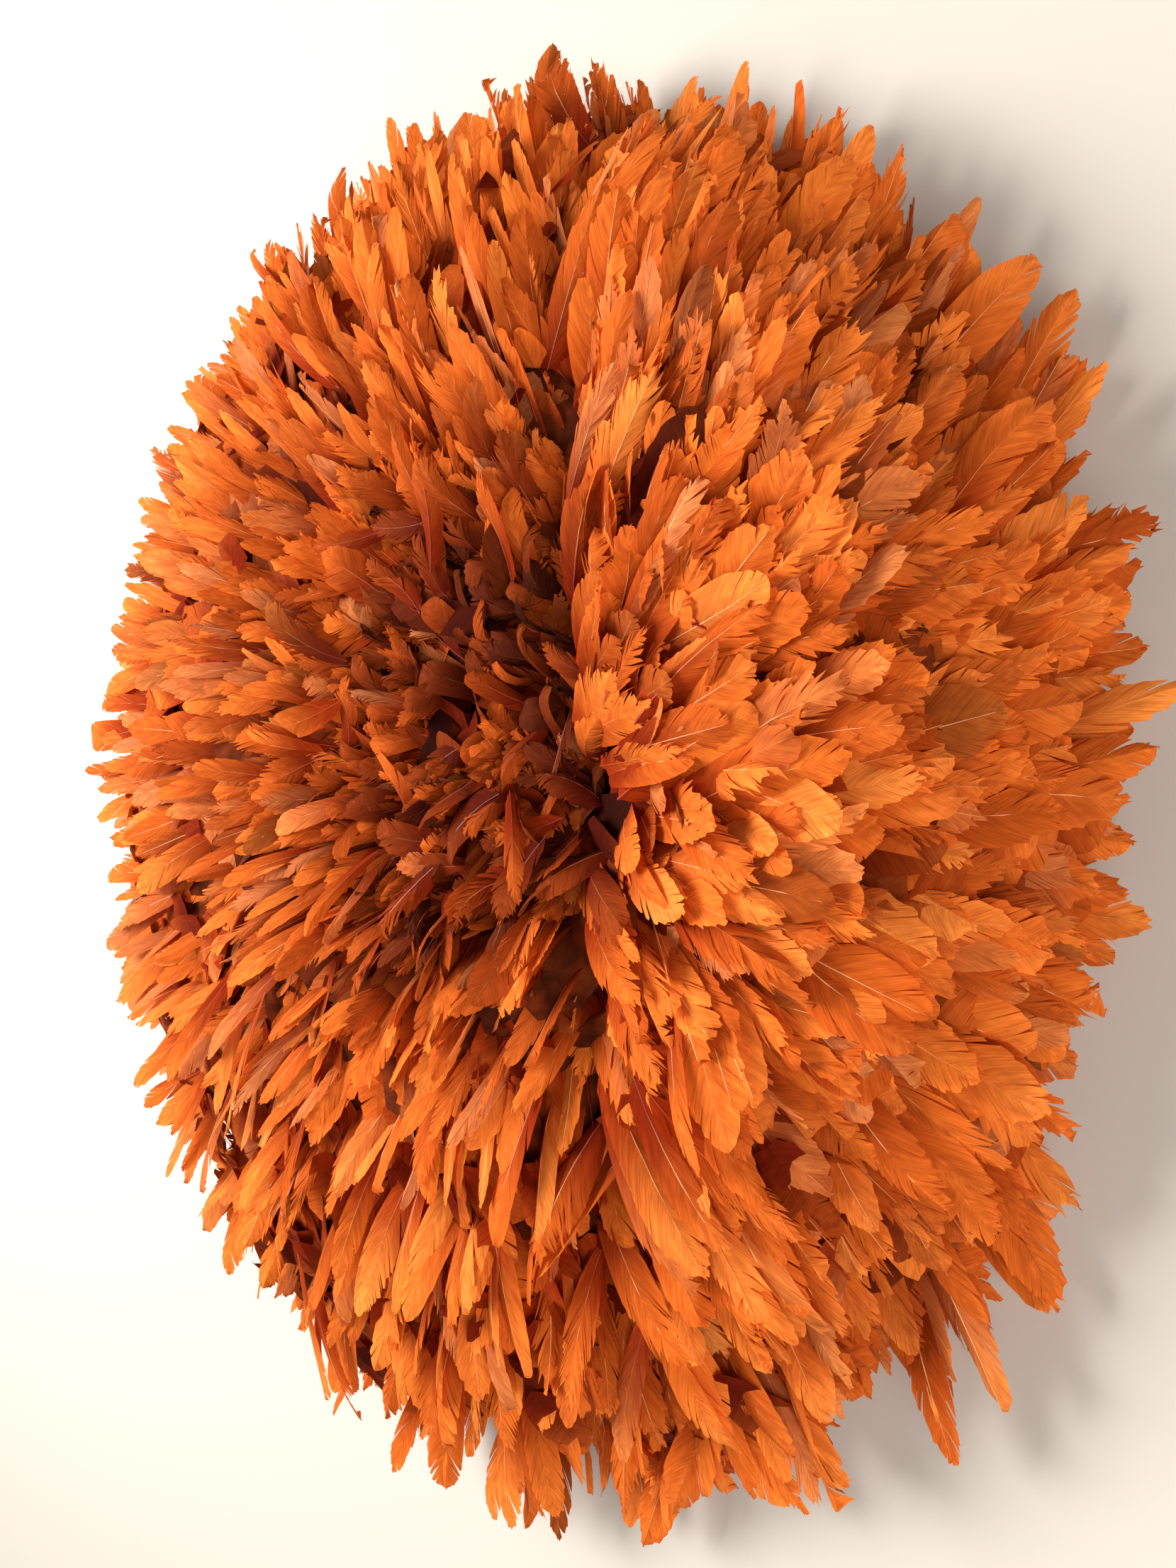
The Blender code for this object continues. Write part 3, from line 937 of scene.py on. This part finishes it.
# How strongly a dusty, an inky and a golden feather takes that colour, and how much painted shade, in the
# inky colour, the crease and the deep gaps take
DUSTY_RANGE = (0.25, 0.90)
INKY_RANGE = (0.3, 0.8)
CREASE_AND_HOLE_PAINTED_SHADE = 0.70
GOLD_MOST = 0.30
LOW_RIGHT_GOLD = 0.50
# The shafts' paleness: middle, spread and most
PALE = (0.42, 0.30)
PALE_MOST = 0.95
SHIFT_RANGE = 40

# How often each kind is picked on the dome, how much more to the right, and in the middle
Pick = namedtuple("Pick", "kind dome right inner")
PICKS = (
    Pick("broad", 0.32, 0.16, 0.05),
    Pick("round", 0.15, 0.03, 0.10),
    Pick("ragged", 0.17, 0.15, 0.24),
    Pick("slim", 0.30, -0.28, 0.27),
    Pick("frayed", 0.10, -0.05, 0.26),
    Pick("curly", 0.02, 0.00, 0.08),
)
LEAST_PICKED = 0.005
NARROW = {kind.name: kind.narrow for kind in KINDS}

# How much each feather belongs to a part of the headdress, from 0 to 1
Zones = namedtuple("Zones", "top bottom left right low_right inner mound under")


def outward_from_middle(tip, inner):
    """Level directions in which feathers point, leaning away from the parting beside it."""
    beyond = smooth_step(0.5 + (tip[:, 0] - PARTING_X) / MIDDLES_FADE)[:, None]
    left_middle = LEFT_MIDDLE + (SUNK_MIDDLE - LEFT_MIDDLE) * inner[:, None]
    middle = left_middle * (1 - beyond) + RIGHT_MIDDLE * beyond
    outward = np.zeros((len(tip), 3))
    outward[:, :2] = unit(tip[:, :2] - middle)
    off = (tip[:, 0] - PARTING_X) / PARTING_WIDTH
    outward[:, 0] += PARTING_LEAN * off * np.exp(-off * off / 2)
    return unit(outward)


def sink(tip, rise):
    """Moves tips aside and down in the parting and the gaps, and gives how far each lies in the crease and
    the deep gaps, where feathers take painted shade.
    """
    off = (tip[:, 0] - PARTING_X) / PARTING_WIDTH
    in_parting = np.exp(-(PARTING_SHARP * off) ** 2)
    in_crease = in_parting * np.exp(-((tip[:, 1] - CREASE_Y) / CREASE_LENGTH) ** 2)
    tip[:, 0] += PARTING_SHIFT * np.sign(off) * in_parting
    tip[:, 2] -= PARTING_DROP * in_parting * rise + CREASE_DROP * in_crease
    in_painted_shade = in_crease
    for hole in HOLES:
        gap = np.hypot(tip[:, 0] - hole.x, tip[:, 1] - hole.y) / hole.radius
        here = 1 - smooth_step(gap - 0.5)
        tip[:, 2] -= hole.depth * here
        in_painted_shade = np.maximum(in_painted_shade, here * (hole.depth > SHADED_HOLE_DEPTH))
    return in_painted_shade


def zones_of(tip, angle, reach, inner, under):
    turn = (np.degrees(angle) - LOW_RIGHT) % 360
    back = (LOW_RIGHT - np.degrees(angle)) % 360
    low_right = np.exp(-(turn / LOW_RIGHT_SPREAD) ** 2) + np.exp(-(back / LOW_RIGHT_SPREAD) ** 2)
    at_rim = smooth_step((reach - LOW_RIGHT_REACH) / LOW_RIGHT_FADE)
    off = np.hypot(*((tip[:, :2] - MOUND_PLACE) / MOUND_SIZE).T)
    before = 1 - smooth_step((tip[:, 0] - PARTING_X + MOUND_GAP) / MOUND_GAP_FADE)
    return Zones(
        top=np.clip(np.sin(angle), 0, 1),
        bottom=np.clip(-np.sin(angle), 0, 1),
        left=np.clip(-np.cos(angle), 0, 1),
        right=0.5 * (1 + np.cos(angle)),
        low_right=np.clip(low_right, 0, 1) * at_rim * (1 - under),
        inner=inner,
        mound=(1 - smooth_step((off - MOUND_EDGE) / MOUND_FADE)) * before,
        under=under,
    )


def choose_kinds(draw, angle, zones):
    """Broad feathers on the right, slim ones at the left, top and bottom, and frayed ones in the middle."""
    right = np.clip(np.cos(angle + 0.15) * 1.3, -0.5, 1.0)[:, None]
    dome, to_right, middle = (np.array(column) for column in list(zip(*PICKS))[1:])
    inner = zones.inner[:, None]
    weights = np.clip((dome + to_right * right) * (1 - inner) + middle * inner, LEAST_PICKED, None)
    weights /= weights.sum(-1, keepdims=True)
    picked = (np.cumsum(weights, -1) < draw.random(len(angle))[:, None]).sum(-1)
    names = np.array([pick.kind for pick in PICKS])
    return np.where(zones.under, "under", names[np.minimum(picked, len(names) - 1)])


def tints_of(draw, tone, colour, in_painted_shade, zones):
    """Each feather's colour, from its tone with painted shade and painted light by place, whether it is dusty
    or inky, and painted shade in the crease and the deep gaps.
    """
    count = len(tone)
    inner, mound, left = zones.inner, zones.mound, zones.left
    tone = tone + (MOUND_PAINTED_SHADE_TONE - MOUND_UNDER_PAINTED_SHADE * zones.under - tone) * mound
    tone = tone + INNER_PAINTED_LIGHT * inner * (1 - mound)
    tone = tone - TOP_PAINTED_SHADE * zones.top * (1 - inner) + LEFT_PAINTED_LIGHT * left + BOTTOM_PAINTED_LIGHT * zones.bottom
    tone = tone + BUNDLE_TONE * colour + wobble(draw, FEATHER_TONE, count) * (1 - 0.25 * mound)
    tint = np.stack([np.interp(tone, TONES, channel) for channel in np.array(ORANGE).T], -1)
    often = (DUSTY_SHARE + LEFT_DUSTY * left) * (1 - 0.8 * np.maximum(inner, mound))
    is_dusty = draw.random(count) < often
    dusty = is_dusty * draw.uniform(*DUSTY_RANGE, count)
    is_inky = draw.random(count) < INKY_SHARE + LEFT_INKY * left + INNER_INKY * inner
    inky = is_inky * draw.uniform(*INKY_RANGE, count)
    # Painted shade in the crease and the deep gaps, in the inky colour
    inky = np.maximum(inky, CREASE_AND_HOLE_PAINTED_SHADE * in_painted_shade) * (1 - 0.8 * zones.under)
    for amount, paint in ((dusty[:, None], DUSTY), (inky[:, None], INKY)):
        tint = tint * (1 - amount) + np.array(paint) * amount
    return tint


def grown(draw, planted):
    """Arrays for shaped() and point_colours(), from the planted places of one ring."""
    reach, rise, aim, droop, length, width, _, tone = np.array([p.row for p in planted]).T
    radius, angle, tilt, sway, push, colour, share, under = map(np.array, list(zip(*planted))[1:])
    count = len(planted)

    # Where the tip lies
    inner = smooth_step((INNER_REACH - reach) / INNER_FADE)
    stray = 1 + RIM_STRAY * smooth_step((reach - RIM_REACH) / RIM_FADE)
    push = (PUSH * push + wobble(draw, PUSH, count)) * stray * (1 - 0.4 * inner) * (1 - 0.6 * under)
    slope = np.radians(np.where(under, aim - UNDER_LIFT, 90.0))
    radius = np.maximum(radius + push + np.where(under, UNDER_DEPTH * np.sin(slope), 0.0), 0.003)
    height = rise * DEPTH - np.where(under, UNDER_DEPTH * np.cos(slope), 0.0)
    height = height + draw.normal(0, RISE_STRAY, count)
    tip = placed(radius * plan_share(angle, reach), angle, height)
    outward = outward_from_middle(tip, inner)
    in_painted_shade = sink(tip, rise)
    zones = zones_of(tip, angle, reach, inner, under)
    ends = zones.top + zones.bottom
    calm = 1 - LEFT_CALM * zones.left * (1 - inner)

    def strays(spread, steady=1.0):
        return wobble(draw, spread.dome * steady + spread.inner * inner, count)

    # Where it points
    pitch = strays(PITCH)
    upright = (zones.left * LEFT_UPRIGHT + ENDS_UPRIGHT * ends) * (1 - inner)
    pitch = np.radians(aim + np.where(under, 0.5 * pitch, pitch + tilt * BUNDLE_TILT + upright))[:, None]
    yaw = np.radians(sway * BUNDLE_SWAY * calm + share * BUNDLE_FAN + strays(YAW, calm))[:, None]
    up = np.array([0.0, 0.0, 1.0])
    around = np.cross(up, outward)
    way = unit((outward * np.cos(yaw) + around * np.sin(yaw)) * np.cos(pitch) + up * np.sin(pitch))
    side = unit(np.cross(way, up + 0.001 * outward))

    kind = choose_kinds(draw, angle, zones)
    tint = tints_of(draw, tone, colour, in_painted_shade, zones)
    small = zones.mound * (1 - under)
    long = 1 + TOP_LONGER * zones.top + LOW_RIGHT_LONGER * zones.low_right - MOUND_SHORTER * small
    wide = 1 + LOW_RIGHT_WIDER * zones.low_right + INNER_WIDER * inner - MOUND_NARROWER * small
    slim = ENDS_SLIMMER * ends + LEFT_SLIMMER * zones.left - RIGHT_BROADER * zones.right ** 2
    wide = wide * (1 - slim * (1 - inner)) * np.array([NARROW[name] for name in kind])
    return {
        "tip": tip,
        "way": way,
        "face": np.cross(side, way),
        "length": length * long * draw.uniform(*LENGTH_SPREAD, count),
        "width": width * wide * draw.uniform(*WIDTH_SPREAD, count),
        "droop": np.radians(droop + strays(DROOP) * (1 - 0.7 * under)),
        "curl": np.radians(strays(CURL) + INNER_CURL * inner),
        "swing": np.radians(strays(SWING)),
        "roll": np.radians(wobble(draw, ROLL.dome * calm + ENDS_ROLL * ends + ROLL.inner * inner, count)),
        "twist": np.radians(strays(TWIST, calm)),
        "cup": draw.uniform(CUP_SPREAD[0], CUP_SPREAD[1] + INNER_CUP * inner, count) * (1 - 0.4 * zones.left),
        "tint": tint,
        "gold": draw.random(count) ** 2 * (GOLD_MOST + LOW_RIGHT_GOLD * zones.low_right) * (1 - zones.mound),
        "shift": draw.uniform(0, SHIFT_RANGE, (count, 3)),
        "pale": np.clip(draw.normal(*PALE, count) * (1 - 0.90 * inner), 0.0, PALE_MOST),
        "kind": kind,
        "variant": draw.integers(0, VARIANTS, count),
    }


# Cores of packed quills, one under each ring, inside the ring's solid

# seat is the height of what carries it, root the quills' outer radius in metres. reach and rise are its
# lower edge and top_reach and top_rise its upper edge, as shares of MEAN_R and DEPTH.
Core = namedtuple("Core", "seat root reach rise top_reach top_rise")
CORES = (
    Core(SKIRT_TOP, 0.192, 0.87, 0.14, 0.83, 0.33),
    Core(SKIRT_TOP, 0.172, 0.82, 0.36, 0.74, 0.58),
    Core(SKIRT_TOP, 0.155, 0.74, 0.63, 0.62, 0.78),
    Core(SKIRT_TOP, 0.138, 0.60, 0.80, 0.46, 0.88),
    Core(SKIRT_TOP, 0.120, 0.44, 0.88, 0.34, 0.80),
    Core(CAP_HEIGHT, 0.073, 0.30, 0.80, 0.18, 0.58),
    Core(CAP_HEIGHT, 0.064, 0.14, 0.53, 0.004, 0.56),
)
CORE_TURNS = 72
CORE_RIB = 0.004
CORE_SEAT_GAP = 0.0005
QUILL_BAND = 0.008


def core_of(core):
    """A closed ring of ribbed section, from the quills' seat to a little short of the tips."""
    points, quads = [], []
    for i in range(CORE_TURNS):
        angle = 2 * math.pi * i / CORE_TURNS
        dip = CORE_RIB * (i % 2)
        section = (
            (core.root - QUILL_BAND, core.seat + CORE_SEAT_GAP),
            (core.root, core.seat + CORE_SEAT_GAP),
            (core.reach * MEAN_R - dip, core.rise * DEPTH),
            (core.top_reach * MEAN_R, core.top_rise * DEPTH - dip),
        )
        for r, z in section:
            share = plan_share(angle, r / MEAN_R)
            points.append(placed(np.array(r * share), np.array(angle), np.array(z)))
        here, there = 4 * i, 4 * ((i + 1) % CORE_TURNS)
        for j in range(4):
            k = (j + 1) % 4
            quads.append((here + j, there + j, there + k, here + k))
    return np.array(points), np.array(quads)


# Stage, light and camera

FLOOR_SIZE = 9.0
FLOOR_COLOUR = (0.615, 0.575, 0.525, 1.0)
FLOOR_ROUGHNESS = 0.9
ROOM_COLOUR = (1.0, 0.97, 0.93, 1.0)
ROOM_STRENGTH = 0.22
Lamp = namedtuple("Lamp", "name place size power colour")
LAMPS = (
    Lamp("window_light", (-0.92, 0.32, 1.35), (0.9, 1.2), 54.0, (1.0, 0.97, 0.92)),
    Lamp("room_fill", (1.35, -0.55, 1.0), (1.0, 1.0), 21.0, (1.0, 0.96, 0.90)),
)
LAMP_TARGET = (0, 0, 0.05)


def photo_camera():
    az, el, roll = (math.radians(v) for v in (CAMERA_RIGHT, CAMERA_ABOVE, CAMERA_ROLL))
    away = Vector((math.sin(az) * math.cos(el), math.sin(el), math.cos(az) * math.cos(el)))
    look = -away
    right = look.cross(Vector((0, 1, 0))).normalized()
    up = right.cross(look)
    look = (look + right * AIM_RIGHT + up * AIM_UP).normalized()
    right = look.cross(up).normalized()
    up = right.cross(look)
    turned_right = right * math.cos(roll) + up * math.sin(roll)
    turned_up = up * math.cos(roll) - right * math.sin(roll)
    data = bpy.data.cameras.new("photo_camera")
    data.sensor_width = SENSOR
    data.lens = FOCAL_PIXELS / PHOTO_HEIGHT * SENSOR
    data.clip_start = CLIP_START
    camera = bpy.data.objects.new("photo_camera", data)
    axes = Matrix((turned_right, turned_up, -look)).transposed().to_4x4()
    camera.matrix_world = Matrix.Translation(away * CAMERA_DISTANCE) @ axes
    bpy.context.scene.collection.objects.link(camera)
    bpy.context.scene.camera = camera


def area_light(lamp):
    data = bpy.data.lights.new(lamp.name, "AREA")
    data.shape = "RECTANGLE"
    data.size, data.size_y = lamp.size
    data.energy = lamp.power
    data.color = lamp.colour
    light = bpy.data.objects.new(lamp.name, data)
    light.location = lamp.place
    way = Vector(LAMP_TARGET) - Vector(lamp.place)
    light.rotation_euler = way.to_track_quat("-Z", "Y").to_euler()
    bpy.context.scene.collection.objects.link(light)


def studio():
    """A plain pale floor, a large soft light from the left, a weaker one from the right and a dim room."""
    bpy.ops.mesh.primitive_plane_add(size=FLOOR_SIZE, location=(0, 0, 0))
    floor = bpy.context.object
    floor.name = "pale_floor"
    material, _, shader = new_material("pale_floor")
    shader.inputs["Base Color"].default_value = FLOOR_COLOUR
    shader.inputs["Roughness"].default_value = FLOOR_ROUGHNESS
    floor.data.materials.append(material)
    for lamp in LAMPS:
        area_light(lamp)
    world = bpy.data.worlds.new("soft_room")
    world.use_nodes = True
    background = world.node_tree.nodes["Background"]
    background.inputs[0].default_value = ROOM_COLOUR
    background.inputs[1].default_value = ROOM_STRENGTH
    bpy.context.scene.world = world
    bpy.context.scene.view_settings.view_transform = "Standard"


def add_piece(name, mesh, materials, ring):
    piece = bpy.data.objects.new(name, mesh)
    bpy.context.scene.collection.objects.link(piece)
    for material in materials:
        mesh.materials.append(material)
    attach(piece, "root")
    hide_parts(ring.node)


def headdress():
    templates = make_templates()
    draw = np.random.default_rng(SEED + 1)
    materials = (feather_material(), shaft_material(), quill_material())
    for ring, core, planted in zip(RINGS, CORES, plant(draw)):
        name = ring.node + "_feathers"
        mesh = feather_mesh(name, templates, grown(draw, planted), core_of(core))
        add_piece(name, mesh, materials, ring)
        print(ring.node, len(planted), "feathers", 2 * len(mesh.polygons), "triangles")
    raffia = raffia_material()
    for node in ("raffia_cap", "rib_skirt"):
        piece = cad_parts[node]
        piece.data.materials.clear()
        piece.data.materials.append(raffia)


headdress()
studio()
photo_camera()
